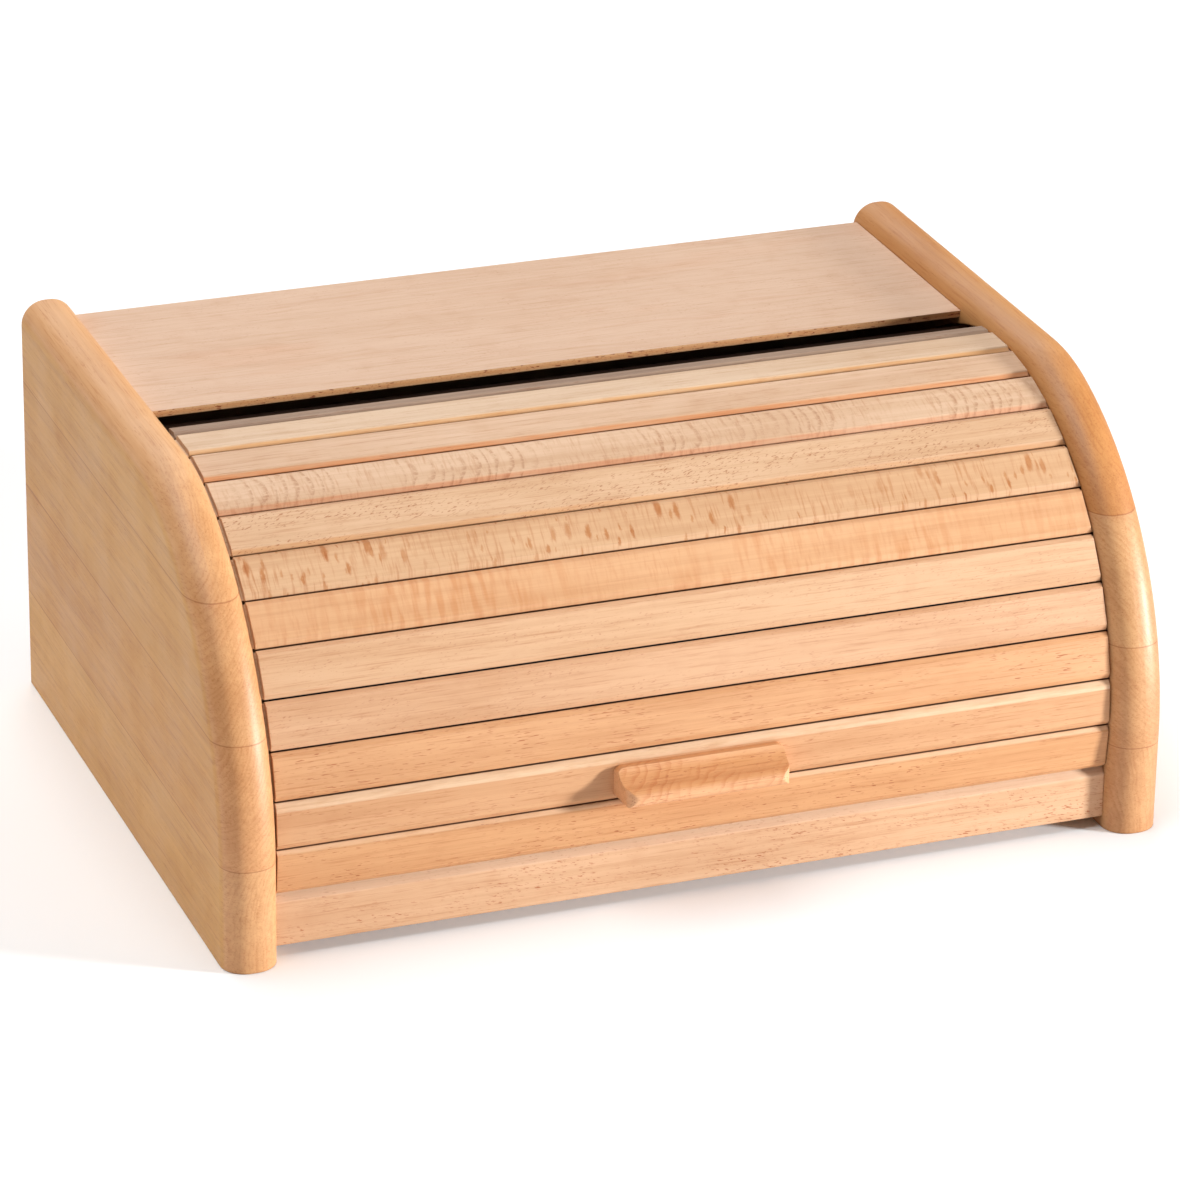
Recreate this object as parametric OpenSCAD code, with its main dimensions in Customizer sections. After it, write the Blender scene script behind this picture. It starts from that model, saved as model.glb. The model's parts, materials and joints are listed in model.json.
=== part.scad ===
// Bread box with a roll top: two wooden side panels carry a slatted tambour
// door that runs in a round groove, with plywood top, back and bottom.
// Frame: X to the right, +Y to the back, Z up, origin under the middle.

/* [Box] */
// Outside width over both side panels
box_w = 390; // [360:1:420]
// Outside depth of a side panel
box_d = 278; // [270:1:290]
// Outside height of a side panel
box_h = 170.5; // [168:0.5:180]
// Y of the middle of a side panel, behind the origin as the handle stands out
mid_y = 3.2; // [0:0.1:6]
// Thickness of a side panel
panel_t = 22; // [20:1:26]
// Radius worked along both edges of a side panel
edge_r = 10; // [6:0.5:10]
// Radius of the big curve at the front of a side panel
front_r = 134; // [128:1:138]
// Radius of the tighter curve where the front meets the flat top
crown_r = 80; // [70:1:90]
// Sine of the angle that the tighter curve takes
crown_sin = 0.352; // [0.28, 0.352]

/* [Door track] */
// Y of the centre of the round track
track_y = -9.1; // [-12:0.1:-6]
// Z of the centre of the round track
track_z = 47; // [44:0.5:50]
// Distance from the track centre to the inner face of a slat
slat_in = 113.2; // [110:0.1:114]
// Distance from the track centre to the outer face of a slat
slat_out = 119.2; // [117:0.1:120]
// Angle of the lower edge of the door, from the front and up
shut_deg = -10; // [-12:0.5:-8]
// Angle taken by one slat
slat_deg = 9.45; // [8:0.05:10]
// Angle taken by the narrow slat at the upper end
end_deg = 4.5; // [3:0.1:8]
// Angle where the batten at the end of the cloth starts
batten_start = 110.8; // [110:0.1:114]
// Angle taken by that batten
batten_deg = 6.5; // [4:0.5:8]
// How far the door turns on the track when it is opened
open_deg = 78; // [40:1:78]
// Clearance between a tongue and the groove it runs in
groove_gap = 0.35; // [0.2:0.05:0.8]
// Depth of the groove in a side panel
groove_deep = 6.2; // [4:0.1:9]

/* [Slats] */
// Gap between two slats at their inner faces
slat_gap = 0.7; // [0.2:0.05:0.8]
// Bevel on a long edge, measured across the slat
bevel_across = 2; // [0.5:0.1:3]
// Bevel on a long edge, measured into the slat
bevel_in = 1.6; // [0.5:0.1:3]
// Thickness of the tongue at each end of a slat
tongue_t = 3.6; // [2.5:0.1:4]
// How far a tongue is set in from the long edges of its slat
tongue_ease = 0.12; // [0.05:0.01:0.5]
// Thickness of the hidden batten
batten_t = 2.8; // [2:0.1:3.6]
// Thickness of the cloth glued behind the slats
cloth_t = 0.7; // [0.5:0.1:1.2]
// Clear space between the wide part of a slat and a side panel
side_gap = 0.4; // [0.3:0.1:1]
// How far a tongue stops short of the bottom of its groove
tongue_short = 0.6; // [0.4:0.1:1]

/* [Panels and rails] */
// Thickness of the plywood top, back and bottom
ply_t = 2.8; // [2.5:0.1:4]
// Height of the underside of the top panel
top_z = 160.5; // [158:0.5:162]
// Y of the front edge of the top panel
top_front = 30.2; // [27:0.1:36]
// Y of the rear edge of the top panel
top_rear = 139.7; // [135:0.1:141]
// Y of the inner face of the back panel
back_y = 134.2; // [130:0.1:137]
// How far the plywood enters its housings
housing = 5; // [3:0.5:8]
// Height of the underside of the bottom panel
floor_z = 8; // [7:0.5:10]
// Y of the front face of the front rail
rail_front = -126.3; // [-130:0.1:-122]
// Thickness of both rails
rail_t = 16; // [12:1:20]
// Height of the underside of both rails
rail_z0 = 5; // [3:0.5:7]
// Height of the top of both rails
rail_z1 = 26.3; // [24:0.1:26.3]
// Bevel along the top front edge of the front rail
rail_bevel = 3; // [1:0.5:4]
// Diameter of the dowels that join rails and side panels
dowel_d = 6; // [4:0.5:6]
// Length of a dowel
dowel_l = 22; // [16:1:26]

/* [Handle] */
// Length of the handle along the slat
handle_l = 70; // [50:1:100]
// X of the middle of the handle
handle_x = -2.5; // [-10:0.5:10]
// How far the handle stands out from the slat
handle_out = 13.8; // [10:0.2:16]
// Distance between the two handle screws
screw_pitch = 44; // [30:1:50]
// Shank diameter of a handle screw
screw_d = 3.4; // [2.5:0.1:4]
// Head diameter of a handle screw
screw_head = 7; // [5:0.5:8]
// Length of a handle screw under its head
screw_l = 13; // [10:0.5:14]
// How far the screws sit below the middle of the slat
screw_drop = 2.5; // [0:0.5:3]

/* [View] */
// How far the door is drawn open, for looking only
view_deg = 0; // [0:1:78]

/* [Hidden] */
$fn = 96;
inner_x = box_w / 2 - panel_t;
front_cy = mid_y - box_d / 2 + front_r;
crown_cos = sqrt(1 - crown_sin * crown_sin);
crown_cy = front_cy - (front_r - crown_r) * crown_sin;
crown_cz = box_h - crown_r;
front_cz = crown_cz - (front_r - crown_r) * crown_cos;
knot_r = slat_in / cos(slat_deg / 2);
slat_count = 11;
door_top = shut_deg + slat_count * slat_deg;
end_top = door_top + end_deg;
batten_end = batten_start + batten_deg;
groove_r0 = slat_in - groove_gap;
groove_r1 = knot_r + tongue_t + groove_gap;
groove_lo = shut_deg - 0.4;
groove_hi = batten_end + open_deg + 0.4;
tongue_x = inner_x + groove_deep - tongue_short;
wide_x = inner_x - side_gap;
cloth_x = inner_x - 3;
back_top = top_z - 0.2;
rear_y1 = back_y - 0.2;
rear_y0 = rear_y1 - rail_t;
rail_x = inner_x - 0.1;
fit = 0.1;
handle_mid = shut_deg + 1.5 * slat_deg;

wood_a = [0.86, 0.67, 0.47];
wood_b = [0.90, 0.74, 0.55];
wood_c = [0.83, 0.62, 0.42];
ply_c = [0.87, 0.71, 0.56];
cloth_c = [0.16, 0.18, 0.20];
steel_c = [0.75, 0.76, 0.78];

// Turns a shape drawn in the Y-Z plane so that its height lies along X.
module upright(x0) {
    translate([x0, 0, 0])
        rotate([90, 0, 90])
            children();
}

// Section of the rounded strip round a side panel: reach, then thickness.
module edge_section(reach) {
    intersection() {
        union() {
            translate([reach - edge_r - 1, edge_r])
                square([edge_r + 1, panel_t - 2 * edge_r]);
            translate([reach - edge_r, edge_r])
                circle(r = edge_r);
            translate([reach - edge_r, panel_t - edge_r])
                circle(r = edge_r);
        }
        translate([reach - edge_r, 0])
            square([edge_r, panel_t]);
    }
}

// A quarter turn of that strip about one centre, drawn in the Y-Z plane.
module edge_quarter(cy, cz, reach) {
    translate([cy, cz, 0])
        rotate([0, 0, 90])
            rotate_extrude(angle = 90)
                edge_section(reach);
}

// Everything in front of the line on which the two curves meet.
module front_side(below) {
    translate([front_cy, front_cz])
        polygon([[below * crown_sin, -below * crown_cos],
                 [-200 * crown_sin, 200 * crown_cos],
                 [-300, 200 * crown_cos], [-300, -below * crown_cos]]);
}

module front_slab() {
    translate([0, 0, -1])
        linear_extrude(height = panel_t + 2)
            front_side(20);
}

// Outline of a side panel inside its rounded strip, in the Y-Z plane.
module core_outline() {
    translate([crown_cy, 0])
        square([mid_y + box_d / 2 - crown_cy, box_h - edge_r]);
    translate([front_cy - front_r + edge_r, 0])
        square([front_r - edge_r, front_cz]);
    intersection() {
        translate([front_cy, front_cz])
            circle(r = front_r - edge_r);
        front_side(0);
    }
    intersection() {
        translate([crown_cy, crown_cz])
            circle(r = crown_r - edge_r);
        translate([crown_cy, crown_cz])
            polygon([[0, 0], [0, 200], [-200 * crown_sin, 200 * crown_cos]]);
    }
}

// Panel blank standing on z = 0 with its thickness from x = 0.
module panel_blank() {
    upright(0)
        linear_extrude(height = panel_t)
            core_outline();
    upright(0)
        intersection() {
            edge_quarter(front_cy, front_cz, front_r);
            front_slab();
        }
    upright(0)
        difference() {
            edge_quarter(crown_cy, crown_cz, crown_r);
            front_slab();
        }
    translate([panel_t, crown_cy, 0])
        rotate([90, 0, 180])
            linear_extrude(height = mid_y + box_d / 2 - crown_cy)
                rotate(90)
                    mirror([0, 1, 0])
                        edge_section(box_h);
    translate([0, front_cy, 0])
        mirror([0, 1, 0])
            linear_extrude(height = front_cz)
                rotate(90)
                    mirror([0, 1, 0])
                        edge_section(front_r);
}

// Part of a ring about the track centre, from x0 and deep along X.
module track_ring(r0, r1, a0, a1, x0, deep) {
    upright(x0)
        translate([track_y, track_z, 0])
            rotate([0, 0, 180 - a1])
                rotate_extrude(angle = a1 - a0)
                    translate([r0, 0])
                        square([r1 - r0, deep]);
}

// Everything that is cut from the inner face of the right side panel.
module panel_cuts() {
    x0 = inner_x - 1;
    deep = housing + fit + 1;
    track_ring(groove_r0, groove_r1, groove_lo, groove_hi, x0, groove_deep + 1);
    translate([x0, top_front - fit, top_z - fit / 2])
        cube([deep, top_rear - top_front + 2 * fit, ply_t + fit]);
    translate([x0, back_y - fit / 2, rail_z0])
        cube([deep, ply_t + fit, top_z + 0.5 - rail_z0]);
    translate([x0, rail_front + rail_t - housing, floor_z - fit / 2])
        cube([deep, rear_y0 - rail_front - rail_t + 2 * housing, ply_t + fit]);
    dowel_set(dowel_d / 2 + 0.03, 0.2);
}

// Dowels at the right-hand ends of both rails.
module dowel_set(r, extra) {
    for (p = [[rail_front + 5.5, 13], [rail_front + 9.5, 20.5],
              [rear_y1 - 5.5, 13], [rear_y1 - 9.5, 20.5]])
        translate([inner_x - dowel_l / 2 - extra, p[0], p[1]])
            rotate([0, 90, 0])
                cylinder(r = r, h = dowel_l + 2 * extra);
}

module right_side_panel() {
    color(wood_a)
        difference() {
            translate([inner_x, 0, 0])
                panel_blank();
            panel_cuts();
        }
}

module left_side_panel() {
    color(wood_a)
        mirror([1, 0, 0])
            difference() {
                translate([inner_x, 0, 0])
                    panel_blank();
                panel_cuts();
            }
}

module top_panel() {
    x1 = inner_x + housing;
    color(ply_c)
        translate([-x1, top_front, top_z])
            cube([2 * x1, top_rear - top_front, ply_t]);
}

module back_panel() {
    x1 = inner_x + housing;
    color(ply_c)
        translate([-x1, back_y, rail_z0 + 0.2])
            cube([2 * x1, ply_t, back_top - rail_z0 - 0.2]);
}

module bottom_panel() {
    x1 = inner_x + housing;
    y0 = rail_front + rail_t - housing + fit;
    y1 = rear_y0 + housing - fit;
    color(ply_c)
        translate([-x1, y0, floor_z])
            cube([2 * x1, y1 - y0, ply_t]);
}

// Bar between the side panels, drawn in the Y-Z plane.
module rail_bar(y0, front_bevel) {
    y1 = y0 + rail_t;
    upright(-rail_x)
        linear_extrude(height = 2 * rail_x)
            polygon([[y0, rail_z0], [y1, rail_z0], [y1, rail_z1],
                     [y0 + front_bevel, rail_z1],
                     [y0, rail_z1 - max(front_bevel, 0.01)]]);
}

module rail_holes() {
    dowel_set(dowel_d / 2 + 0.03, 0.2);
    mirror([1, 0, 0])
        dowel_set(dowel_d / 2 + 0.03, 0.2);
}

module front_rail() {
    color(wood_b)
        difference() {
            rail_bar(rail_front, rail_bevel);
            translate([-box_w, rail_front + rail_t - housing, floor_z - fit / 2])
                cube([2 * box_w, housing + 1, ply_t + fit]);
            rail_holes();
        }
}

module rear_rail() {
    color(wood_b)
        difference() {
            rail_bar(rear_y0, 1);
            translate([-box_w, rear_y0 - 1, floor_z - fit / 2])
                cube([2 * box_w, housing + 1, ply_t + fit]);
            rail_holes();
        }
}

module dowels() {
    color(wood_c) {
        dowel_set(dowel_d / 2, 0);
        mirror([1, 0, 0])
            dowel_set(dowel_d / 2, 0);
    }
}

// Places a shape whose local X points outwards from the track centre, whose
// local Y points down the slat and whose height lies along X.
module on_track(mid, x0) {
    upright(x0)
        translate([track_y, track_z, 0])
            rotate([0, 0, 180 - mid - view_deg])
                children();
}

// Section of a slat: lo and hi are the bevels on its lower and upper edge.
module slat_section(half, n0, n1, lo, hi) {
    h0 = n0 * tan(half) - slat_gap / 2;
    nb = n1 - bevel_in;
    hb = nb * tan(half) - slat_gap / 2;
    polygon([[n0, -h0], [n1 - bevel_in * hi, -hb], [n1, -hb + bevel_across * hi],
             [n1, hb - bevel_across * lo], [n1 - bevel_in * lo, hb], [n0, h0]]);
}

// Section of the thinner tongue of a slat.
module tongue_section(half, n0, thick) {
    h = n0 * tan(half) - slat_gap / 2 - tongue_ease;
    translate([n0, -h])
        square([thick, 2 * h]);
}

// One slat between two angles of the shut door.
module slat_between(a0, a1, hi) {
    half = (a1 - a0) / 2;
    n0 = knot_r * cos(half);
    on_track((a0 + a1) / 2, -wide_x)
        linear_extrude(height = 2 * wide_x)
            slat_section(half, n0, slat_out, 1, hi);
    on_track((a0 + a1) / 2, -tongue_x)
        linear_extrude(height = 2 * tongue_x)
            tongue_section(half, n0, tongue_t);
}

// Slat number k, counted from the top.
module slat(k) {
    a0 = shut_deg + (slat_count - k) * slat_deg;
    slat_between(a0, a0 + slat_deg, 1);
}

// Holes for both handle screws, through cloth and slat.
module screw_holes(n0, n1, r) {
    for (s = [-1, 1])
        on_track(handle_mid, handle_x + s * screw_pitch / 2)
            translate([n0, screw_drop, 0])
                rotate([0, 90, 0])
                    cylinder(r = r, h = n1 - n0);
}

module slat_01() {
    color(wood_b)
        slat(1);
}

module slat_02() {
    color(wood_b)
        slat(2);
}

module slat_03() {
    color(wood_b)
        slat(3);
}

module slat_04() {
    color(wood_a)
        slat(4);
}

module slat_05() {
    color(wood_b)
        slat(5);
}

module slat_06() {
    color(wood_c)
        slat(6);
}

module slat_07() {
    color(wood_a)
        slat(7);
}

module slat_08() {
    color(wood_a)
        slat(8);
}

module slat_09() {
    color(wood_c)
        slat(9);
}

module slat_10() {
    color(wood_c)
        difference() {
            slat(10);
            screw_holes(slat_in - 1, slat_out + 1, screw_d / 2 + 0.05);
        }
}

module slat_11() {
    color(wood_c)
        slat(11);
}

module end_slat() {
    color(wood_a)
        slat_between(door_top, end_top, 0.25);
}

module tail_batten() {
    half = batten_deg / 2;
    color(wood_a)
        on_track(batten_start + half, -tongue_x)
            linear_extrude(height = 2 * tongue_x)
                tongue_section(half, knot_r * cos(half), batten_t);
}

// Corners of the cloth: it lies flat behind each slat and bends between them.
function cloth_bends() = concat(
    [for (i = [1 : slat_count]) shut_deg + i * slat_deg],
    [end_top, (end_top + batten_start) / 2, batten_start]);

function cloth_line(r, out) = concat(
    [track_point(shut_deg + 1, (slat_in + out) / cos(slat_deg / 2 - 1))],
    [for (a = cloth_bends()) track_point(a, r)],
    [track_point(batten_end - 0.5,
                 (knot_r * cos(batten_deg / 2) + out) / cos(batten_deg / 2 - 0.5))]);

function track_point(a, r) = [-r * cos(a), r * sin(a)];

function backwards(list) = [for (i = [len(list) - 1 : -1 : 0]) list[i]];

module cloth_backing() {
    color(cloth_c)
        difference() {
            upright(-cloth_x)
                translate([track_y, track_z, 0])
                    rotate([0, 0, -view_deg])
                        linear_extrude(height = 2 * cloth_x)
                            polygon(concat(cloth_line(knot_r, 0),
                                           backwards(cloth_line(knot_r - cloth_t, -cloth_t))));
            screw_holes(slat_in - 4, slat_in + 1, screw_d / 2 + 0.05);
        }
}

// Section of the handle: out from the slat, then down the slat.
module handle_section() {
    nose = 3.8;
    difference() {
        union() {
            translate([0, -5])
                square([handle_out - nose, 13.8]);
            translate([handle_out - nose, 8.8 - nose])
                circle(r = nose);
        }
        translate([handle_out - 1.3, -8])
            circle(r = 9.5);
        translate([5, 10.6])
            circle(r = 3.6);
    }
}

// Plan of the handle: along the slat, then out from it.
module handle_plan() {
    l = handle_l / 2;
    r = 5;
    polygon([[-l, -0.5], [l, -0.5], [l - 1, handle_out - r], [1 - l, handle_out - r]]);
    translate([r + 1 - l, handle_out - r - 1])
        square([2 * (l - 1 - r), r + 1]);
    translate([l - 1 - r, handle_out - r])
        circle(r = r);
    translate([r + 1 - l, handle_out - r])
        circle(r = r);
}

// Front view of the handle: down the slat, then along it.
module handle_face() {
    l = handle_l / 2;
    r = 3.5;
    translate([-5, r - l])
        square([13.8, 2 * (l - r)]);
    translate([r - 5, -l])
        square([13.8 - 2 * r, 2 * l]);
    for (u = [r - 5, 8.8 - r])
        for (v = [r - l, l - r])
            translate([u, v])
                circle(r = r);
}

module handle() {
    color(wood_c)
        difference() {
            on_track(handle_mid, handle_x)
                translate([slat_out, 0, 0])
                    intersection() {
                        translate([0, 0, -handle_l / 2])
                            linear_extrude(height = handle_l)
                                handle_section();
                        translate([0, 9, 0])
                            rotate([90, 0, 0])
                                linear_extrude(height = 15)
                                    rotate(90)
                                        mirror([0, 1, 0])
                                            handle_plan();
                        translate([-0.5, 0, 0])
                            rotate([90, 0, 90])
                                linear_extrude(height = 16)
                                    handle_face();
                    }
            screw_holes(slat_out - 1, slat_in - cloth_t + screw_l + 0.3, screw_d / 2 + 0.05);
        }
}

// Pan-head screws driven from inside, through cloth and slat.
module handle_screws() {
    n0 = slat_in - cloth_t;
    color(steel_c)
        for (s = [-1, 1])
            on_track(handle_mid, handle_x + s * screw_pitch / 2)
                translate([n0, screw_drop, 0])
                    rotate([0, 90, 0])
                        difference() {
                            union() {
                                cylinder(r = screw_d / 2, h = screw_l);
                                translate([0, 0, -2.2])
                                    cylinder(r = screw_head / 2, h = 2.2);
                            }
                            for (q = [0, 90])
                                rotate([0, 0, q])
                                    translate([-2, -0.4, -2.7])
                                        cube([4, 0.8, 1.7]);
                        }
}

left_side_panel();
right_side_panel();
top_panel();
back_panel();
bottom_panel();
front_rail();
rear_rail();
dowels();
slat_01();
slat_02();
slat_03();
slat_04();
slat_05();
slat_06();
slat_07();
slat_08();
slat_09();
slat_10();
slat_11();
end_slat();
tail_batten();
cloth_backing();
handle();
handle_screws();
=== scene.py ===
"""Bread box with a roll top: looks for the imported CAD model, in metres.

Every CAD node but the cloth keeps its shape and gets a procedural material. The
cloth behind the slats is built here, as a thin woven sheet on the CAD cloth's line.

Colours are sRGB from 0 to 255, lengths are metres, and rates are cycles per metre.
"""

import json
import math

import bpy
from mathutils import Matrix, Vector, noise


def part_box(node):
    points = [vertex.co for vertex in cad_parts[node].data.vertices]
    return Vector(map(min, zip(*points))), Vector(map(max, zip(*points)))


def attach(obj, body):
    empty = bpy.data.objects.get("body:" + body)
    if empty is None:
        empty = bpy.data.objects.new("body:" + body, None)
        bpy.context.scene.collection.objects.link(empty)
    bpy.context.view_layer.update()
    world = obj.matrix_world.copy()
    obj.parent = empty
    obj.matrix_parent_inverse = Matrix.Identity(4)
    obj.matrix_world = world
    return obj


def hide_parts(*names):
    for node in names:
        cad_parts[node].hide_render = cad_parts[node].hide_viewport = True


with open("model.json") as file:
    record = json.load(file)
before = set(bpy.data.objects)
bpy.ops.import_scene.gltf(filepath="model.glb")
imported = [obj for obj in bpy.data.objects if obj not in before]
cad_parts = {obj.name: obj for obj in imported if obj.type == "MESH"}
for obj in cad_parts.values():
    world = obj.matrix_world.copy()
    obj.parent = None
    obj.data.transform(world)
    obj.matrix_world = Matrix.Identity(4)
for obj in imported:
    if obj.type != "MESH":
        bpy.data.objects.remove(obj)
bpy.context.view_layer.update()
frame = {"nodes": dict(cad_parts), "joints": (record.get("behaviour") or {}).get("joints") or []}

MM = 0.001
X_AXIS, Y_AXIS, Z_AXIS = Vector((1, 0, 0)), Vector((0, 1, 0)), Vector((0, 0, 1))
DOOR = frame["joints"][0]
TRACK = Vector(DOOR["pos_m"])
SLATS = [f"slat_{k:02d}" for k in range(1, 12)]
TAIL = ["end_slat", "tail_batten"]

# One number for each piece, so that no two are cut from the same wood. The slats have 1 to 11.
SEEDS = {"end_slat": 21, "tail_batten": 22, "left_side_panel": 31, "right_side_panel": 37,
         "front_rail": 41, "rear_rail": 43, "dowels": 47, "handle": 53,
         "top_panel": 61, "back_panel": 67, "bottom_panel": 71}
SEED_STEP = 7.31          # how far apart two seeds read the same noise

# Mean tone of each piece of wood, or a pale and a deep tone of it, under the lights set up below
SLAT_TONES = (
    (213, 181, 150), (206, 168, 136), (208, 171, 139), (207, 166, 130),
    (206, 162, 123), (212, 160, 117), (209, 163, 125), (207, 158, 120),
    (208, 152, 107), (204, 150, 107), (206, 149, 102),
)
# The end slat and the tail batten are greyer and darker than the slats: painted shade, for the shadow
# they lie in under the top panel.
TAIL_SHADE_TONES = (170, 142, 120), (148, 120, 100)
LEFT_TONE, RIGHT_TONE = (220, 169, 120), (207, 160, 114)
RAIL_TONE, HANDLE_TONE, PLY_TONE = (213, 166, 128), (222, 164, 118), (214, 179, 152)
DOWEL_TONES = (236, 200, 160), (214, 170, 124)
GRIME = (214, 176, 140)   # tint of fine grain and of handled wood

BEVEL = 7.6 * MM, 8.2 * MM              # from a slat's middle to where its face turns into a bevel
RAIL_BEVEL = 4.2 * MM, 2.4 * MM         # the same for a rail, down from its upper edge
LEFT_GLUE = (0.0427, 0.0905, 0.1360)    # heights of the glue lines of each side panel
RIGHT_GLUE = (0.0375, 0.0789, 0.1255)


# ---------------------------------------------------------------- node helpers

def linear(colour):
    """An sRGB colour from 0 to 255 as the linear RGBA that a shader takes."""
    def one(v):
        v /= 255
        return v / 12.92 if v <= 0.04045 else ((v + 0.055) / 1.055) ** 2.4
    return (*[one(v) for v in colour], 1.0)


class Look:
    """One procedural material, with short calls for the nodes it is made of."""

    def __init__(self, name):
        self.mat = bpy.data.materials.new(name)
        self.mat.use_nodes = True
        self.tree = self.mat.node_tree
        self.tree.nodes.clear()
        self.shader = self.add("ShaderNodeBsdfPrincipled")
        out = self.add("ShaderNodeOutputMaterial")
        self.tree.links.new(self.shader.outputs["BSDF"], out.inputs["Surface"])
        coord = self.add("ShaderNodeTexCoord")
        self.place, self.facing = coord.outputs["Object"], coord.outputs["Normal"]

    def add(self, kind):
        return self.tree.nodes.new(kind)

    def put(self, socket, value):
        """Sets a socket to a number or links another socket to it."""
        if isinstance(value, bpy.types.NodeSocket):
            self.tree.links.new(value, socket)
        else:
            socket.default_value = value

    def math(self, op, a, b=0.0):
        n = self.add("ShaderNodeMath")
        n.operation = op
        self.put(n.inputs[0], a)
        self.put(n.inputs[1], b)
        return n.outputs[0]

    def total(self, *terms):
        out = terms[0]
        for t in terms[1:]:
            out = self.math("ADD", out, t)
        return out

    def times(self, *terms):
        out = terms[0]
        for t in terms[1:]:
            out = self.math("MULTIPLY", out, t)
        return out

    def along(self, vector, axis, origin=(0, 0, 0)):
        """How far a point lies along an axis from an origin."""
        move = self.add("ShaderNodeVectorMath")
        move.operation = "SUBTRACT"
        self.put(move.inputs[0], vector)
        move.inputs[1].default_value = origin
        n = self.add("ShaderNodeVectorMath")
        n.operation = "DOT_PRODUCT"
        self.put(n.inputs[0], move.outputs[0])
        n.inputs[1].default_value = axis
        return n.outputs["Value"]

    def point(self, x, y, z):
        n = self.add("ShaderNodeCombineXYZ")
        for socket, value in zip(n.inputs, (x, y, z)):
            self.put(socket, value)
        return n.outputs[0]

    def noise(self, x, y, z, detail=2.0, rough=0.5, twist=0.0):
        n = self.add("ShaderNodeTexNoise")
        self.put(n.inputs["Vector"], self.point(x, y, z))
        n.inputs["Scale"].default_value = 1.0
        n.inputs["Detail"].default_value = detail
        n.inputs["Roughness"].default_value = rough
        n.inputs["Distortion"].default_value = twist
        return n.outputs["Fac"]

    def spots(self, x, y):
        """Distance to the nearest of many scattered spots, and two random numbers for it."""
        n = self.add("ShaderNodeTexVoronoi")
        n.voronoi_dimensions = "2D"
        self.put(n.inputs["Vector"], self.point(x, y, 0.0))
        n.inputs["Scale"].default_value = 1.0
        n.inputs["Randomness"].default_value = 1.0
        split = self.add("ShaderNodeSeparateColor")
        self.put(split.inputs[0], n.outputs["Color"])
        return n.outputs["Distance"], split.outputs[0], split.outputs[1]

    def step(self, value, low, high, to=(0.0, 1.0)):
        """Smooth step of value from low to high, onto the range to."""
        n = self.add("ShaderNodeMapRange")
        n.interpolation_type = "SMOOTHSTEP"
        self.put(n.inputs["Value"], value)
        ends = {"From Min": low, "From Max": high, "To Min": to[0], "To Max": to[1]}
        for name, v in ends.items():
            self.put(n.inputs[name], v)
        return n.outputs[0]

    def mix(self, amount, a, b, blend="MIX"):
        n = self.add("ShaderNodeMix")
        n.data_type, n.blend_type = "RGBA", blend
        colour_a, colour_b, colour_out = 6, 7, 2    # the node's own order of sockets
        self.put(n.inputs[0], amount)
        self.put(n.inputs[colour_a], a)
        self.put(n.inputs[colour_b], b)
        return n.outputs[colour_out]

    def bump(self, height, distance, strength=1.0, round_edges=0.0):
        """Relief from a height, over edges that catch the light as if rounded."""
        n = self.add("ShaderNodeBump")
        n.inputs["Strength"].default_value = strength
        n.inputs["Distance"].default_value = distance
        self.put(n.inputs["Height"], height)
        if round_edges:
            soft = self.add("ShaderNodeBevel")
            soft.samples = 4
            soft.inputs["Radius"].default_value = round_edges
            self.put(n.inputs["Normal"], soft.outputs[0])
        self.put(self.shader.inputs["Normal"], n.outputs[0])


# ---------------------------------------------------------------- wood

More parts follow.
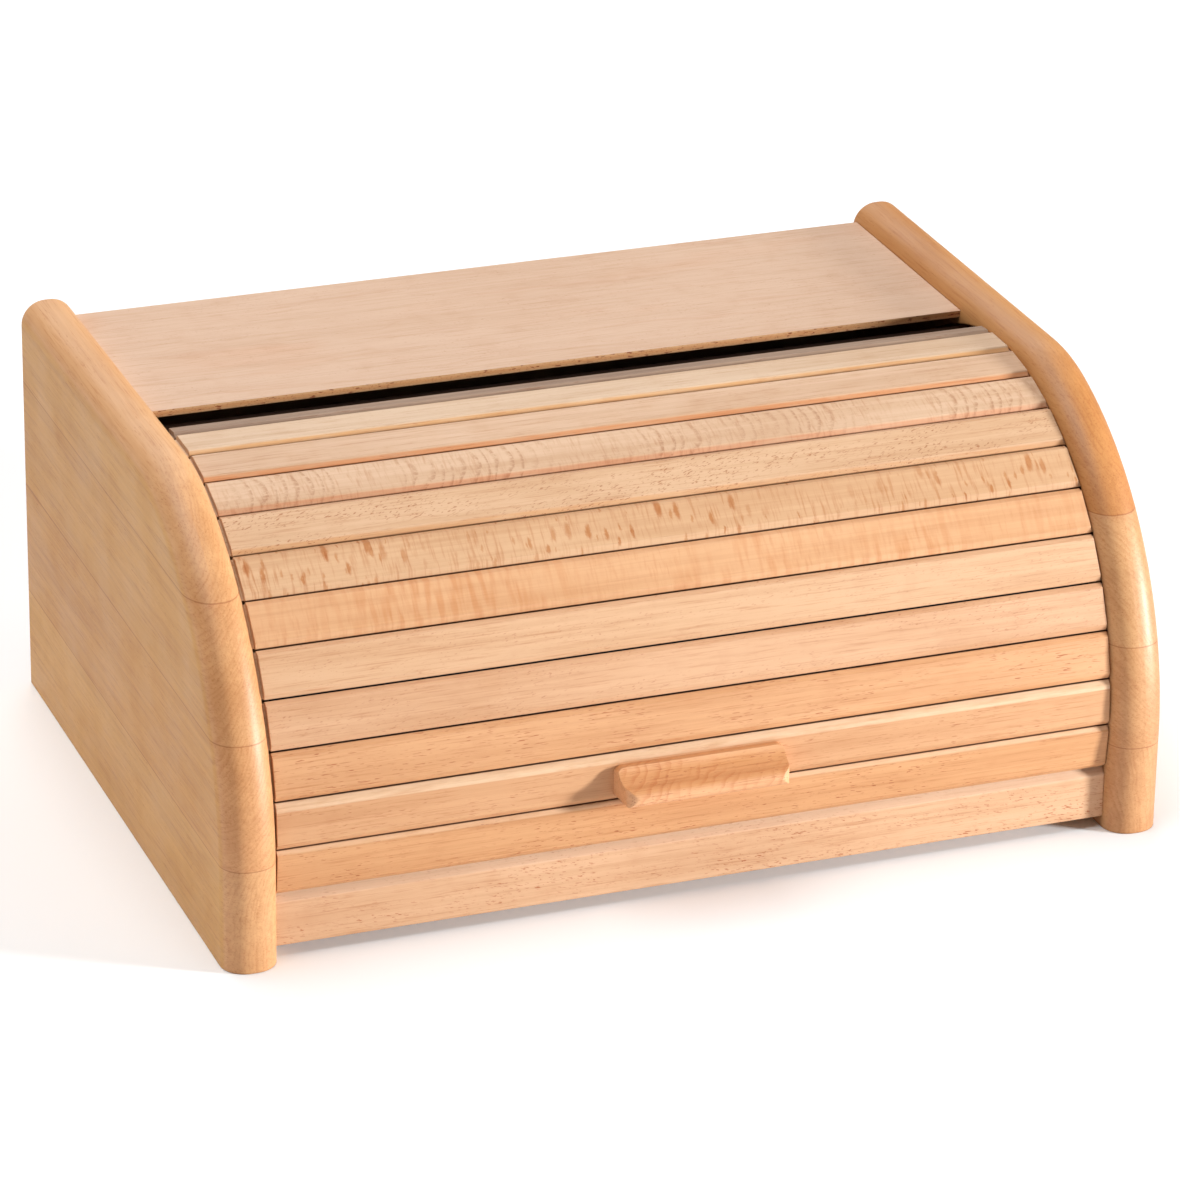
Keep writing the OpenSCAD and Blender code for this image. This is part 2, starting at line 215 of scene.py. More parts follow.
class Wood(Look):
    """Beech. g runs along the grain, a across it and d into the piece."""

    def __init__(self, name, seed, origin, grain, across, pale, deep):
        super().__init__(name)
        grain, across = Vector(grain), Vector(across)
        self.seed = seed * SEED_STEP
        self.g = self.along(self.place, grain, origin)
        self.a = self.along(self.place, across, origin)
        self.d = self.along(self.place, grain.cross(across), origin)
        self.up = across
        self.colour = self.mix(self.tone(), linear(pale), linear(deep))
        self.height = self.fibres(2600, 70)
        self.rough = 0.46
        self.sheen = None

    def at(self, g_rate, a_rate, d_rate=None, shift=0.0):
        """The point where a noise is read, with cycles per metre on each axis."""
        d_rate = a_rate if d_rate is None else d_rate
        g = self.total(self.times(self.g, g_rate), self.seed + shift)
        return g, self.times(self.a, a_rate), self.times(self.d, d_rate)

    def tone(self):
        """Broad, soft changes of colour from the tree, and thin bands along the grain."""
        broad = self.noise(*self.at(9, 60), detail=3, twist=0.4)
        bands = self.noise(*self.at(5, 420, shift=3), detail=3, rough=0.6)
        return self.step(self.total(self.times(broad, 0.55), self.times(bands, 0.45)), 0.36, 0.66)

    def fibres(self, across_rate, along_rate):
        """Fine lines along the grain."""
        return self.noise(*self.at(along_rate, across_rate, shift=11), detail=4, rough=0.65)

    def tint(self, mask, colour, blend="MULTIPLY"):
        """Colours the wood where the mask is 1."""
        self.colour = self.mix(mask, self.colour, linear(colour), blend)

    def fine_grain(self, strength, dark=GRIME):
        mask = self.times(self.step(self.fibres(1500, 45), 0.5, 0.72), strength)
        self.tint(mask, dark)

    def pores(self, strength, length=0.0028, width=0.0005, share=0.64,
              dark=(196, 128, 78), tilt=0.0):
        """Short dark dashes along the grain, gathered in loose patches."""
        a = self.total(self.a, self.times(self.g, tilt))
        g = self.total(self.times(self.g, 1 / length), self.seed + 23)
        dash = self.noise(g, self.times(a, 1 / width), self.times(self.d, 1 / width), detail=1.5)
        patch = self.noise(*self.at(26, 130, shift=31), detail=2)
        mask = self.times(self.step(dash, share, share + 0.05), self.step(patch, 0.34, 0.62), strength)
        self.tint(mask, dark)
        self.height = self.math("SUBTRACT", self.height, self.times(mask, 0.7))

    def rays(self, strength, spacing=0.0009, reach=0.007, dark=(214, 168, 124)):
        """Fine short hatching across the grain, where the slat is cut along the rays."""
        g = self.total(self.times(self.g, 1 / spacing), self.seed + 43)
        lines = self.noise(g, self.times(self.a, 1 / reach), self.times(self.d, 1 / reach), detail=1.5)
        patch = self.noise(*self.at(30, 25, shift=47), detail=2)
        patch = self.step(patch, 0.34, 0.62, (0.3, 1.0))
        self.tint(self.times(self.step(lines, 0.48, 0.74), patch, strength), dark)

    def arcs(self, strength, spacing=0.0048, bend=40.0, dark=(206, 172, 142)):
        """Faint curved lines across the slat, one behind the other, in loose groups."""
        wander = self.noise(*self.at(70, 30, shift=37), detail=2)
        run = self.total(self.g, self.times(self.a, self.a, bend), self.times(wander, 0.006))
        uneven = self.noise(*self.at(90, 4, shift=87), detail=1)
        turn = self.math("FRACT", self.total(self.times(run, 1 / spacing), self.times(uneven, 2.0)))
        line = self.times(self.step(turn, 0.5, 0.86), self.step(turn, 1.0, 0.9))
        broken = self.noise(*self.at(320, 620, shift=41), detail=3, rough=0.75)
        patch = self.noise(*self.at(24, 10, shift=53), detail=2)
        mask = self.times(line, self.step(broken, 0.36, 0.6), self.step(patch, 0.42, 0.58))
        self.tint(self.times(mask, strength), dark)

    def streaks(self, strength, spacing=0.0026, reach=0.02, dark=(228, 172, 122)):
        """Soft light and dark streaks across the grain."""
        g = self.total(self.times(self.g, 1 / spacing), self.seed + 67)
        lines = self.noise(g, self.times(self.a, 1 / reach), self.times(self.d, 1 / reach), detail=1)
        where = self.noise(*self.at(14, 12, shift=73), detail=1)
        mask = self.times(self.step(lines, 0.42, 0.66), self.step(where, 0.36, 0.6), strength)
        self.tint(mask, dark)

    def flakes(self, strength, cell, tall, keep, size, dark=(226, 192, 157)):
        """Brown ray flecks that stand across the slat, each of a size of its own.

        One in each cell of cell by tall metres, but only about the share keep of them show.
        """
        ragged = self.times(self.noise(*self.at(500, 200, shift=61), detail=3, rough=0.7), 0.0028)
        g = self.total(self.times(self.total(self.g, ragged), 1 / cell), self.seed + 59)
        upward = self.total(self.times(self.a, 1 / tall), self.times(ragged, 60), self.seed)
        away, pick, big = self.spots(g, upward)
        rim = self.step(big, 0.0, 1.0, size)
        where = self.noise(*self.at(13, 9, shift=79), detail=1)
        fleck = self.step(away, rim, self.times(rim, 0.35))
        mask = self.times(fleck, self.step(pick, 1 - keep, 1.3 - keep))
        self.tint(self.times(mask, self.step(where, 0.36, 0.5, (0.25, 1.0)), strength), dark)
        self.height = self.math("SUBTRACT", self.height, self.times(mask, 0.25))

    def edge_band(self, across_from, across_to, colour, strength=1.0, blend="MULTIPLY"):
        """Colour on the bevel along one edge, mottled along its length."""
        mottle = self.noise(*self.at(60, 500, shift=71), detail=3, rough=0.65)
        where = self.step(self.a, across_from, across_to)
        mask = self.times(where, self.step(mottle, 0.2, 0.62, (0.45, 1.0)), strength)
        self.tint(mask, colour, blend)

    def worn(self, rate=90):
        """Handling: soft, slightly darker smudges and a duller or shinier finish."""
        smudge = self.noise(*self.at(rate, rate, shift=83), detail=3)
        self.tint(self.step(smudge, 0.5, 0.85, (0.0, 0.16)), GRIME)
        self.sheen = self.step(smudge, 0.2, 0.8, (-0.06, 0.08))

    def done(self, depth=0.00005, round_edges=0.0005, gloss=0.35):
        """Connects what was gathered to the shader, and hands out the material."""
        if self.sheen is None:
            self.worn()
        grain = self.step(self.height, 0.2, 0.9, (0.07, -0.05))
        self.put(self.shader.inputs["Roughness"], self.total(self.rough, self.sheen, grain))
        self.put(self.shader.inputs["Base Color"], self.colour)
        self.shader.inputs["Specular IOR Level"].default_value = gloss
        self.bump(self.height, distance=depth, strength=0.8, round_edges=round_edges)
        return self.mat


def dress(node, material):
    """Puts a material on a CAD node's own slots."""
    mesh = frame["nodes"][node].data
    if not mesh.materials:
        mesh.materials.append(material)
    for i in range(len(mesh.materials)):
        mesh.materials[i] = material


def middle(node):
    """Middle of a piece's box."""
    low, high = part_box(node)
    return (low + high) / 2


def slat_angle(node):
    """Angle of a slat on the track, from the front and up."""
    points = [v.co for v in frame["nodes"][node].data.vertices]
    mean = sum(points, Vector()) / len(points) - TRACK
    return math.atan2(mean.z, -mean.y)


def slat_wood(node, name, seed, pale, deep):
    """Wood whose a axis points up the slat's face, with its origin on the slat."""
    angle = slat_angle(node)
    up = Vector((0, math.sin(angle), math.cos(angle)))
    out = Vector((0, -math.cos(angle), math.sin(angle)))
    reach = (middle(node) - TRACK).dot(out)
    return Wood(name, seed, TRACK + out * reach, X_AXIS, up, pale, deep)


def around(tone, spread=1.0):
    """A paler and a deeper colour on either side of a wood's mean tone."""
    pale = tuple(min(255, c * (1 + k * spread)) for c, k in zip(tone, (0.025, 0.035, 0.05)))
    deep = tuple(c * (1 - k * spread) for c, k in zip(tone, (0.035, 0.06, 0.085)))
    return pale, deep


def lower_bevel(wood, colour, strength=1.0):
    """Deeper colour on the bevel that looks down and away from the light: partly the bevel's own
    colour, where it is cut across the grain, and partly painted shade.
    """
    wood.edge_band(-BEVEL[0], -BEVEL[1], colour, strength)


def painted_bevel_highlight(wood, colour, strength=1.0):
    """Painted highlight: paler colour on the bevel that looks up, where the light catches it."""
    wood.edge_band(BEVEL[0], BEVEL[1], colour, strength, "MIX")


def painted_gap_shade(wood, strength):
    """Painted shade in the gaps between slats: the sides of a slat, down in the gap, are tinted dark
    brown.
    """
    flank = wood.math("ABSOLUTE", wood.along(wood.facing, wood.up))
    wood.tint(wood.times(wood.step(flank, 0.85, 0.97), strength), (118, 74, 48))


def slat_figure(wood, k):
    """What the face of slat number k shows, from the top of the door down."""
    if k == 1:
        wood.pores(0.25)
        lower_bevel(wood, (252, 226, 190))
    elif k == 2:
        wood.pores(0.2)
        lower_bevel(wood, (254, 216, 184))
    elif k == 3:
        wood.rays(0.35)
        wood.arcs(0.6)
        wood.pores(0.2)
        lower_bevel(wood, (250, 221, 206))
    elif k == 4:
        wood.pores(0.75, length=0.002, width=0.00055, share=0.61, dark=(200, 156, 118), tilt=-0.3)
        lower_bevel(wood, (247, 227, 200), 0.9)
    elif k == 5:
        wood.rays(0.65, spacing=0.0009, reach=0.011, dark=(226, 190, 154))
        wood.flakes(1.0, cell=0.0062, tall=0.02, keep=0.95, size=(0.08, 0.29))
        wood.flakes(0.8, cell=0.0036, tall=0.013, keep=0.75, size=(0.1, 0.26), dark=(232, 202, 168))
    elif k == 6:
        wood.streaks(0.6, dark=(240, 212, 184))
        wood.rays(0.3, dark=(232, 200, 166))
    elif k in (7, 8):
        wood.pores(0.45, length=0.002, tilt=-0.2)
    elif k == 9:
        wood.pores(0.75, length=0.0045, width=0.00042)
    elif k == 10:
        wood.pores(0.5, length=0.004, width=0.0004)
        painted_bevel_highlight(wood, (238, 206, 172), 0.55)
    else:
        wood.pores(0.85, length=0.0036, width=0.00045)
        painted_bevel_highlight(wood, (236, 196, 160), 0.55)


def dress_slats():
    for k, node in enumerate(SLATS, start=1):
        wood = slat_wood(node, f"beech_{node}", k, *around(SLAT_TONES[k - 1]))
        wood.fine_grain(0.15 if k in (3, 5, 6) else 0.5)
        slat_figure(wood, k)
        # Painted shade down in the gaps between slats, lighter on the upper four
        painted_gap_shade(wood, 0.4 if k <= 4 else 0.75)
        dress(node, wood.done())
    for node in TAIL:
        wood = slat_wood(node, f"beech_{node}", SEEDS[node], *TAIL_SHADE_TONES)
        wood.fine_grain(0.6)
        wood.pores(0.4)
        # Painted shade down in the gaps
        painted_gap_shade(wood, 0.75)
        dress(node, wood.done())


# ---------------------------------------------------------------- side panels

def stave_rings(wood, centre_x, z, joints, piths):
    """Distance from the pith of the stave that a point is in, and that stave's number from below."""
    x = wood.along(wood.place, X_AXIS, (centre_x, 0, 0))
    drift = wood.noise(*wood.at(14, 30, shift=5), detail=3)
    wobble = wood.noise(*wood.at(60, 320, shift=6), detail=3)

    def ring(pith):
        across = wood.math("SUBTRACT", x, pith[0])
        upward = wood.math("SUBTRACT", z, pith[1])
        away = wood.math("SQRT", wood.total(wood.times(across, across), wood.times(upward, upward)))
        return wood.total(away, wood.times(drift, 0.009), wood.times(wobble, 0.0012))

    away, stave = ring(piths[0]), 0.0
    for joint, pith in zip(joints, piths[1:]):
        above = wood.math("GREATER_THAN", z, joint)
        away = wood.total(away, wood.times(above, wood.math("SUBTRACT", ring(pith), away)))
        stave = wood.total(stave, above)
    return away, stave


def growth_lines(wood, away, spacing=0.0019):
    """Dark late wood, once a year, in rings that are uneven and fade in places."""
    years = wood.noise(wood.times(away, 190), wood.seed, 0.0, detail=2)
    turns = wood.math("FRACT", wood.total(wood.times(away, 1 / spacing), wood.times(years, 3.5)))
    faint = wood.step(wood.noise(*wood.at(40, 160, shift=8), detail=3), 0.3, 0.66, (0.25, 1.0))
    return wood.times(wood.step(turns, 0.35, 0.9), wood.step(turns, 1.0, 0.9), faint)


def glue_lines(wood, z, joints):
    """Hair-thin dark lines, slightly sunken, where the staves meet."""
    glue = 0.0
    for joint in joints:
        off = wood.math("ABSOLUTE", wood.math("SUBTRACT", z, joint))
        glue = wood.total(glue, wood.step(off, 0.00035, 0.0001))
    wood.tint(wood.times(glue, 0.55), (196, 146, 100))
    wood.height = wood.math("SUBTRACT", wood.height, wood.times(glue, 0.5))


def dress_side_panel(node, side):
    """Four edge-glued staves, each with growth rings about its own pith. Left has side -1."""
    low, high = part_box(node)
    centre_x = (low.x + high.x) / 2
    tone, joints = (LEFT_TONE, LEFT_GLUE) if side < 0 else (RIGHT_TONE, RIGHT_GLUE)
    wood = Wood(f"beech_{node}", SEEDS[node], (centre_x, 0, 0), Y_AXIS, Z_AXIS, *around(tone))
    z = wood.along(wood.place, Z_AXIS)
    # each stave's pith, as X from the panel's middle and Z
    piths = ((-side * 0.075, 0.010), (side * 0.040, 0.100),
             (-side * 0.050, 0.060), (side * 0.070, 0.190))
    away, stave = stave_rings(wood, centre_x, z, joints, piths)
    late = growth_lines(wood, away)
    shift = wood.noise(wood.total(wood.times(stave, 3.7), wood.seed), 0.0, 0.0, detail=0)
    end = wood.step(wood.math("ABSOLUTE", wood.along(wood.facing, Y_AXIS)), 0.12, 0.62)
    wood.tint(wood.step(shift, 0.3, 0.7, (0.0, 0.3)), (232, 196, 158))
    wood.tint(wood.times(late, wood.step(end, 0, 1, (0.08, 0.24))), (214, 158, 104))
    wood.tint(wood.times(end, 0.45), (243, 221, 190))
    if side < 0:
        # Painted shade: the left panel's flat outer face is tinted darker, for how the light falls on
        # it.
        wood.tint(wood.step(wood.along(wood.facing, -X_AXIS), 0.9, 0.99), (250, 242, 188))
    else:
        # Painted shade: the right panel's outer side, turned to the key light, is tinted darker.
        wood.tint(wood.step(wood.along(wood.facing, X_AXIS), 0.1, 0.8), (234, 226, 218))
        top_stave = wood.step(z, joints[2] - 0.1 * MM, joints[2] + 0.1 * MM)
        wood.tint(top_stave, (249, 234, 206))
    glue_lines(wood, z, joints)
    wood.fine_grain(0.55, (222, 184, 144))
    wood.pores(0.35, length=0.005, width=0.0005, dark=(206, 152, 104))
    wood.worn(rate=40)
    wood.rough = 0.45
    dress(node, wood.done(depth=0.00004, round_edges=0.0008, gloss=0.5))


# ---------------------------------------------------------------- rails, dowels and handle

def dress_rails():
    for node in ("front_rail", "rear_rail"):
        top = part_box(node)[1].z
        wood = Wood(f"beech_{node}", SEEDS[node], (0, 0, 0), X_AXIS, Z_AXIS, *around(RAIL_TONE))
        wood.fine_grain(0.5)
        wood.pores(0.8, length=0.0022, width=0.0005, share=0.62, dark=(206, 140, 92), tilt=0.12)
        # Painted light: a paler band on the rail's upper bevel, standing in for the light that falls
        # on it.
        bevel = wood.step(wood.a, top - RAIL_BEVEL[0], top - RAIL_BEVEL[1])
        wood.tint(wood.times(bevel, 0.4), (246, 206, 176), "MIX")
        dress(node, wood.done(round_edges=0.0007))


def dress_dowels():
    wood = Wood("beech_dowels", SEEDS["dowels"], (0, 0, 0), X_AXIS, Z_AXIS, *DOWEL_TONES)
    wood.fine_grain(0.8)
    wood.pores(0.6)
    dress("dowels", wood.done())


def dress_handle():
    """A coved bar. Rings cut its face in long shallow arcs, uneven in spacing and depth."""
    angle = slat_angle("handle")
    up = Vector((0, math.sin(angle), math.cos(angle)))
    wood = Wood("beech_handle", SEEDS["handle"], middle("handle"), X_AXIS, up, *around(HANDLE_TONE))
    # Painted shade: the handle's faces that look up are tinted darker, as the low key light barely
    # reaches them.
    painted_top_shade = wood.step(wood.along(wood.facing, Z_AXIS), 0.25, 0.8)
    wood.tint(painted_top_shade, (232, 218, 198))
    wander = wood.noise(*wood.at(120, 90, shift=9), detail=2)
    run = wood.total(wood.g, wood.times(wood.a, wood.a, 55), wood.times(wood.d, 1.1),
                     wood.times(wander, 0.009))
    spacing = 0.0047
    turns = wood.math("FRACT", wood.times(run, 1 / spacing))
    lines = wood.times(wood.step(turns, 0.4, 0.9), wood.step(turns, 1.0, 0.92))
    where = wood.step(wood.noise(*wood.at(46, 60, shift=12), detail=2), 0.42, 0.62)
    wood.tint(wood.times(lines, where, 0.4), (228, 180, 138))
    wood.fine_grain(0.6)
    wood.pores(0.7, length=0.003, width=0.0004)
    wood.rough = 0.38
    dress("handle", wood.done(round_edges=0.0006, gloss=0.45))


# ---------------------------------------------------------------- plywood

def plywood_face(wood):
    """Rotary-cut veneer: broad pale flames and thin wandering lines."""
    warp = wood.times(wood.noise(*wood.at(7, 16, shift=2), detail=3), 0.06)
    rings = wood.noise(wood.times(wood.g, 6), wood.times(wood.total(wood.a, warp), 260),
                       wood.seed, detail=4, rough=0.6)
    flames = wood.noise(*wood.at(10, 26, shift=4), detail=2)
    wood.tint(wood.step(rings, 0.52, 0.7, (0.0, 0.18)), (226, 182, 148))
    wood.tint(wood.step(flames, 0.55, 0.75, (0.0, 0.3)), (252, 226, 206))
    wood.fine_grain(0.4)
    wood.pores(0.4, length=0.002, width=0.00045, share=0.66)


def plywood_edge(wood, across, depth):
    """The sawn edge: a core whose grain runs the other way, full of short dark ends."""
    into = wood.math("ABSOLUTE", wood.d)
    edge = wood.math("MAXIMUM", wood.math("ABSOLUTE", wood.along(wood.facing, across)),
                     wood.math("ABSOLUTE", wood.along(wood.facing, X_AXIS)))
    edge = wood.step(edge, 0.5, 0.7)
    core = wood.times(wood.step(into, depth * 0.22, depth * 0.3),
                      wood.step(into, depth * 0.78, depth * 0.7))
    specks = wood.noise(wood.times(wood.g, 900), wood.times(wood.a, 900),
                        wood.times(wood.d, 1900), detail=3, rough=0.7)
    chips = wood.noise(wood.times(wood.g, 260), wood.times(wood.a, 260),
                       wood.times(wood.d, 1100), detail=2)
    chipped = wood.step(chips, 0.6, 0.66)
    wood.tint(wood.times(edge, 0.9), (252, 223, 180))
    wood.tint(wood.times(edge, core, 0.5), (247, 216, 178))
    wood.tint(wood.times(edge, wood.step(specks, 0.54, 0.64), 0.6), (206, 150, 104))
    wood.tint(wood.times(edge, chipped, 0.85), (168, 104, 62))
    wood.height = wood.math("SUBTRACT", wood.height, wood.times(edge, chipped))


def dress_plywood():
    """Each panel with the number of the axis that it is thin along."""
    for node, thin in (("top_panel", 2), ("back_panel", 1), ("bottom_panel", 2)):
        low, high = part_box(node)
        across = Z_AXIS if thin == 1 else Y_AXIS
        wood = Wood(f"plywood_{node}", SEEDS[node], low, X_AXIS, across, *around(PLY_TONE, 0.5))
        plywood_face(wood)
        plywood_edge(wood, across, (high - low)[thin])
        wood.rough = 0.5
        dress(node, wood.done(round_edges=0.0003, gloss=0.3))


# ---------------------------------------------------------------- steel and cloth

def dress_screws():
    """Zinc-plated steel with fine drawing lines and a cloudy plating."""
    steel = Look("zinc_plated_steel")
    x = steel.along(steel.place, X_AXIS)
    y = steel.along(steel.place, Y_AXIS)
    z = steel.along(steel.place, Z_AXIS)
    grain = steel.noise(steel.times(x, 2200), steel.times(y, 500), steel.times(z, 2200), detail=3)
    cloud = steel.noise(steel.times(x, 420), steel.times(y, 420), steel.times(z, 420), detail=3)
    colour = steel.mix(steel.step(cloud, 0.35, 0.7), linear((206, 208, 210)), linear((172, 176, 170)))
    colour = steel.mix(steel.step(grain, 0.55, 0.75, (0.0, 0.35)), colour, linear((138, 136, 128)))
    steel.put(steel.shader.inputs["Base Color"], colour)
    steel.put(steel.shader.inputs["Roughness"], steel.step(grain, 0.3, 0.7, (0.24, 0.42)))
    steel.shader.inputs["Metallic"].default_value = 1.0
    steel.bump(grain, distance=0.00003, strength=0.6, round_edges=0.0002)
    dress("handle_screws", steel.mat)


def cloth_look():
    """A plain weave of dark yarn, with a faint fade and loose fibres."""
    cloth = Look("backing_cloth")
    uv = cloth.add("ShaderNodeUVMap")
    uv.uv_map = "weave"
    split = cloth.add("ShaderNodeSeparateXYZ")
    cloth.put(split.inputs[0], uv.outputs[0])
    u, v = split.outputs["X"], split.outputs["Y"]     # metres across and along the cloth
    pitch = 0.0009            # two threads
    drift = cloth.times(cloth.noise(cloth.times(u, 160), cloth.times(v, 160), 0.0, detail=2), 0.0012)
    turn = 2 * math.pi / pitch
    warp = cloth.math("SINE", cloth.times(cloth.total(u, drift), turn))
    weft = cloth.math("SINE", cloth.times(cloth.total(v, drift), turn))
    over = cloth.times(warp, weft)
    thread = cloth.math("MAXIMUM", cloth.math("ABSOLUTE", warp), cloth.math("ABSOLUTE", weft))
    fuzz = cloth.noise(cloth.times(u, 2600), cloth.times(v, 2600), 0.0, detail=3, rough=0.7)
    fade = cloth.noise(cloth.times(u, 22), cloth.times(v, 22), 4.0, detail=3)
    colour = cloth.mix(cloth.step(fade, 0.3, 0.75), linear((30, 38, 48)), linear((44, 52, 60)))
    colour = cloth.mix(cloth.step(over, -0.5, 0.7, (0.0, 0.5)), colour, linear((58, 66, 74)))
    colour = cloth.mix(cloth.step(fuzz, 0.6, 0.8, (0.0, 0.4)), colour, linear((88, 92, 96)))
    cloth.put(cloth.shader.inputs["Base Color"], colour)
    cloth.put(cloth.shader.inputs["Roughness"], cloth.step(fuzz, 0.2, 0.8, (0.82, 0.98)))
    cloth.shader.inputs["Sheen Weight"].default_value = 0.25
    cloth.shader.inputs["Sheen Roughness"].default_value = 0.5
    cloth.shader.inputs["Specular IOR Level"].default_value = 0.15
    height = cloth.total(cloth.times(over, 0.35), cloth.times(thread, 0.4), cloth.times(fuzz, 0.5))
    cloth.bump(height, distance=0.00012, strength=0.9)
    return cloth.mat


CLOTH_HALF = 0.25 * MM       # half of the sheet's thickness
CLOTH_INSET = 0.6 * MM       # how far each side edge stays inside the CAD cloth's
CLOTH_BACK = 0.05 * MM       # how far the sheet lies inward of the middle of the CAD cloth
CLOTH_COLUMNS = 96
CLOTH_STEP = 3 * MM          # longest row of faces along the cloth


def cloth_corners():
    """The creases of the cloth, in Y and Z, midway through the CAD cloth's thickness."""
    reaches = {}
    for v in frame["nodes"]["cloth_backing"].data.vertices:
        arm = v.co - TRACK
        angle = round(math.atan2(arm.z, -arm.y), 3)
        reach = math.hypot(arm.y, arm.z)
        low, high = reaches.get(angle, (reach, reach))
        reaches[angle] = (min(low, reach), max(high, reach))
    corners = []
    for angle, (low, high) in sorted(reaches.items()):
        if high - low > 0.4 * MM:     # both faces of the CAD cloth have a corner at this angle
            corners.append(TRACK + Vector((0, -math.cos(angle), math.sin(angle))) * ((low + high) / 2))
    return corners


def cloth_path():
    """Points along the cloth, and how far along it each of them lies."""
    corners = cloth_corners()
    path = []
    for start, end in zip(corners, corners[1:]):
        pieces = max(2, round((end - start).length / CLOTH_STEP))
        path += [start.lerp(end, i / pieces) for i in range(pieces)]
    path.append(corners[-1])
    run = [0.0]
    for start, end in zip(path, path[1:]):
        run.append(run[-1] + (end - start).length)
    return path, run


def cloth_faces(rows, wide):
    """Quads for the outer and inner face, and for the rim between them."""
    layer = rows * wide
    faces = []
    for i in range(rows - 1):
        for j in range(wide - 1):
            a = i * wide + j
            quad = (a, a + 1, a + wide + 1, a + wide)
            faces.append(quad)
            faces.append(tuple(layer + q for q in reversed(quad)))
    rim = list(range(wide))
    rim += [i * wide + wide - 1 for i in range(1, rows)]
    rim += [(rows - 1) * wide + j for j in range(wide - 2, -1, -1)]
    rim += [i * wide for i in range(rows - 2, 0, -1)]
    for a, b in zip(rim, rim[1:] + rim[:1]):
        faces.append((b, a, layer + a, layer + b))
    return faces


def build_cloth():
    """A woven strip with two faces and a rim, flat behind each slat and creased between them."""
    path, run = cloth_path()
    low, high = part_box("cloth_backing")
    width = high.x - low.x - 2 * CLOTH_INSET
    verts, uvs = [], []
    for face in (1, -1):
        for i, p in enumerate(path):
            before, after = path[max(i - 1, 0)], path[min(i + 1, len(path) - 1)]
            tangent = (after - before).normalized()
            out = Vector((0, -tangent.z, tangent.y))
            if out.dot(p - TRACK) < 0:
                out.negate()
            for j in range(CLOTH_COLUMNS + 1):
                u = j / CLOTH_COLUMNS - 0.5
                # the side edges fray a little, and the faces ripple
                fray = noise.noise(Vector((u * 3, run[i] * 260, 5.0))) * abs(2 * u) ** 8
                ripple = noise.noise(Vector((u * 40, run[i] * 120, 9.0)))
                x = (low.x + high.x) / 2 + u * width + math.copysign(0.35 * MM * fray, u)
                offset = out * (face * CLOTH_HALF + 0.05 * MM * ripple - CLOTH_BACK)
                verts.append(Vector((x, p.y, p.z)) + offset)
                uvs.append((u * width, run[i]))
    mesh = bpy.data.meshes.new("backing_cloth")
    mesh.from_pydata(verts, [], cloth_faces(len(path), CLOTH_COLUMNS + 1))
    weave = mesh.uv_layers.new(name="weave")
    for loop in mesh.loops:
        weave.data[loop.index].uv = uvs[loop.vertex_index]
    for polygon in mesh.polygons:
        polygon.use_smooth = False
    mesh.materials.append(cloth_look())
    cloth = bpy.data.objects.new("backing_cloth", mesh)
    bpy.context.scene.collection.objects.link(cloth)
    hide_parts("cloth_backing")
    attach(cloth, "door")


# ---------------------------------------------------------------- floor, lights, camera

def build_floor(size=8.0, cells=80, drop=0.2 * MM):
    """A pale sweep of paper just below the box, with a very faint cloud in its colour."""
    verts = []
    for i in range(cells + 1):
        for j in range(cells + 1):
            verts.append(((i / cells - 0.5) * size, (j / cells - 0.5) * size, -drop))
    faces = []
    for i in range(cells):
        for j in range(cells):
            a = i * (cells + 1) + j
            faces.append((a, a + cells + 1, a + cells + 2, a + 1))
    mesh = bpy.data.meshes.new("floor")
    mesh.from_pydata(verts, [], faces)
    floor = bpy.data.objects.new("floor", mesh)
    bpy.context.scene.collection.objects.link(floor)
    look = Look("paper_floor")
    x = look.along(look.place, X_AXIS)
    y = look.along(look.place, Y_AXIS)
    cloud = look.noise(look.times(x, 3), look.times(y, 3), 0.0, detail=3)
    colour = look.mix(cloud, linear((254, 254, 254)), linear((251, 251, 252)))
    look.put(look.shader.inputs["Base Color"], colour)
    look.shader.inputs["Roughness"].default_value = 0.9
    look.shader.inputs["Specular IOR Level"].default_value = 0.1
    mesh.materials.append(look.mat)


def toward(azimuth, elevation):
    """Direction from the box to a place. Azimuth 0 is in front of it and 90 to its right."""
    az, el = math.radians(azimuth), math.radians(elevation)
    return Vector((math.sin(az) * math.cos(el), -math.cos(az) * math.cos(el), math.sin(el)))


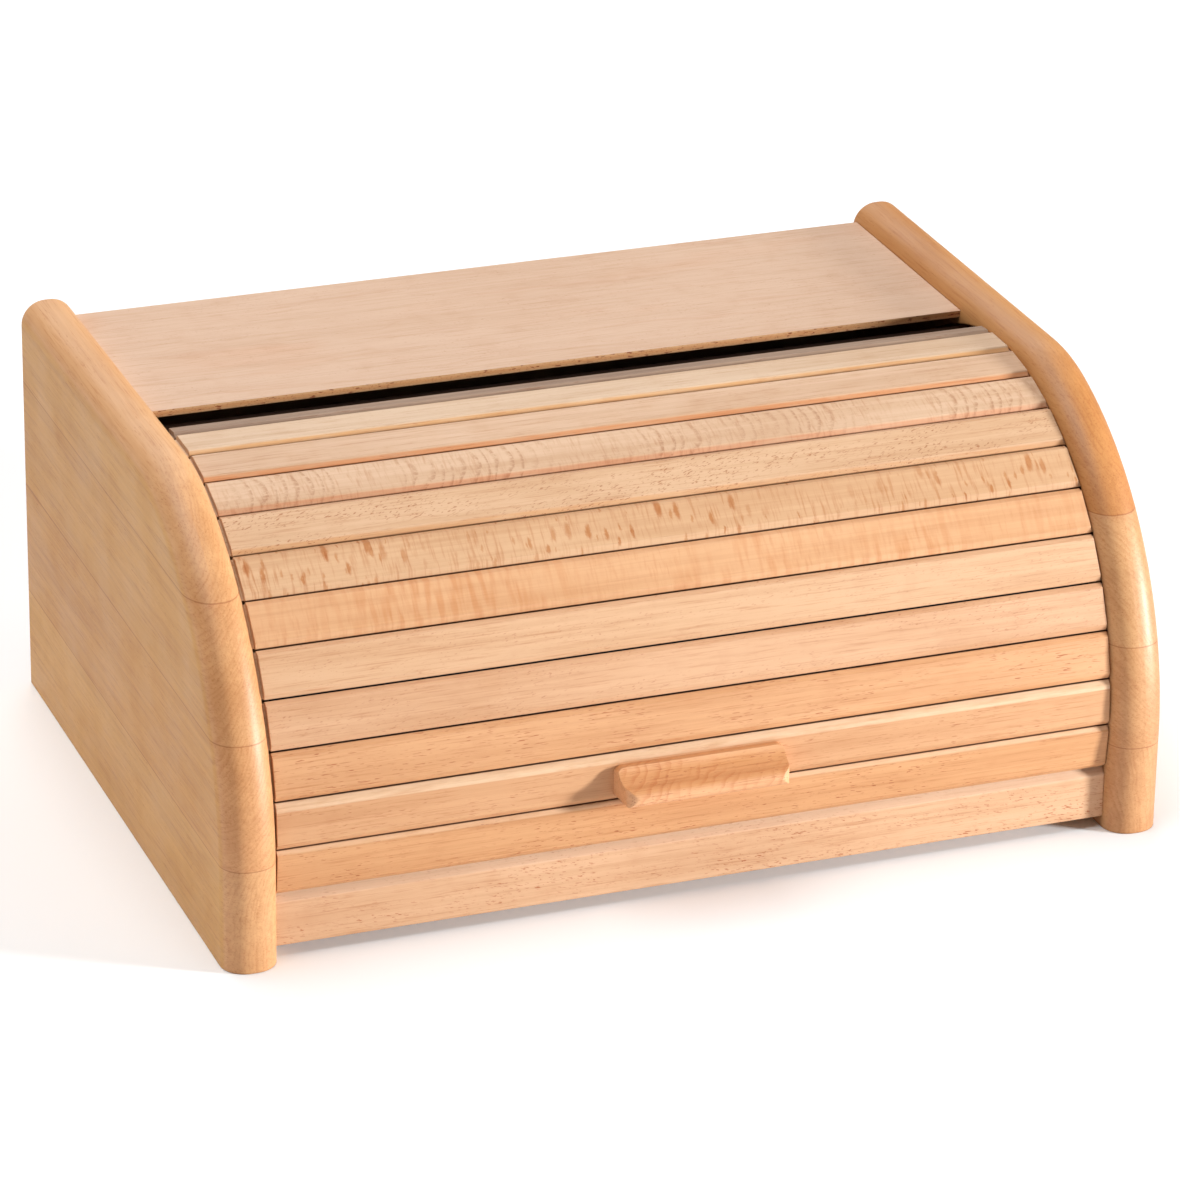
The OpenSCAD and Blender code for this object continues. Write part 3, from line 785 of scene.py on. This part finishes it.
def soft_light(name, azimuth, elevation, distance, size, power, colour=(1, 1, 1), aim=(0, 0, 0.08)):
    """An area light, in watts, that faces the box."""
    data = bpy.data.lights.new(name, "AREA")
    data.shape = "RECTANGLE"
    data.size, data.size_y = size
    data.energy = power
    data.color = colour
    light = bpy.data.objects.new(name, data)
    bpy.context.scene.collection.objects.link(light)
    to = toward(azimuth, elevation)
    light.location = Vector(aim) + to * distance
    light.rotation_mode = "QUATERNION"
    light.rotation_quaternion = (-to).to_track_quat("-Z", "Y")


def build_lights():
    """A low key light from the right for the handle's shadow, and soft light from above and behind."""
    soft_light("key_right", azimuth=56, elevation=9, distance=2.2, size=(0.26, 0.26), power=75,
               colour=(0.9, 0.98, 1.02))
    soft_light("top_soft", azimuth=-95, elevation=74, distance=3.0, size=(3.0, 2.4), power=77)
    soft_light("back_soft", azimuth=172, elevation=52, distance=3.2, size=(3.0, 1.5), power=46,
               aim=(0, 0.8, 0))
    world = bpy.data.worlds.new("studio")
    bpy.context.scene.world = world
    world.use_nodes = True
    sky = world.node_tree.nodes["Background"]
    sky.inputs["Color"].default_value = (1.0, 0.95, 0.9, 1.0)
    sky.inputs["Strength"].default_value = 0.14


def build_camera():
    """Long lens from the front left and above, as fitted to the outline of the box."""
    azimuth, elevation, roll = -20.884, 23.979, math.radians(0.943)
    distance, lens, aim = 2.28962, 173.03, Vector((0, 0.0032, 0.08))
    back = toward(azimuth, elevation)
    right = Vector((math.cos(math.radians(azimuth)), math.sin(math.radians(azimuth)), 0))
    up = back.cross(right)
    across = right * math.cos(roll) + up * math.sin(roll)
    upward = up * math.cos(roll) - right * math.sin(roll)
    data = bpy.data.cameras.new("camera")
    data.lens, data.sensor_width = lens, 36.0
    data.shift_x, data.shift_y = 0.00346, -0.01261
    data.clip_start, data.clip_end = 0.1, 30.0
    camera = bpy.data.objects.new("camera", data)
    bpy.context.scene.collection.objects.link(camera)
    turn = Matrix((across, upward, back)).transposed()
    camera.matrix_world = Matrix.Translation(aim + back * distance) @ turn.to_4x4()
    bpy.context.scene.camera = camera


dress_slats()
dress_side_panel("left_side_panel", -1)
dress_side_panel("right_side_panel", 1)
dress_rails()
dress_dowels()
dress_handle()
dress_plywood()
dress_screws()
build_cloth()
build_floor()
build_lights()
build_camera()
bpy.context.scene.view_settings.view_transform = "Standard"
bpy.context.scene.view_settings.look = "None"
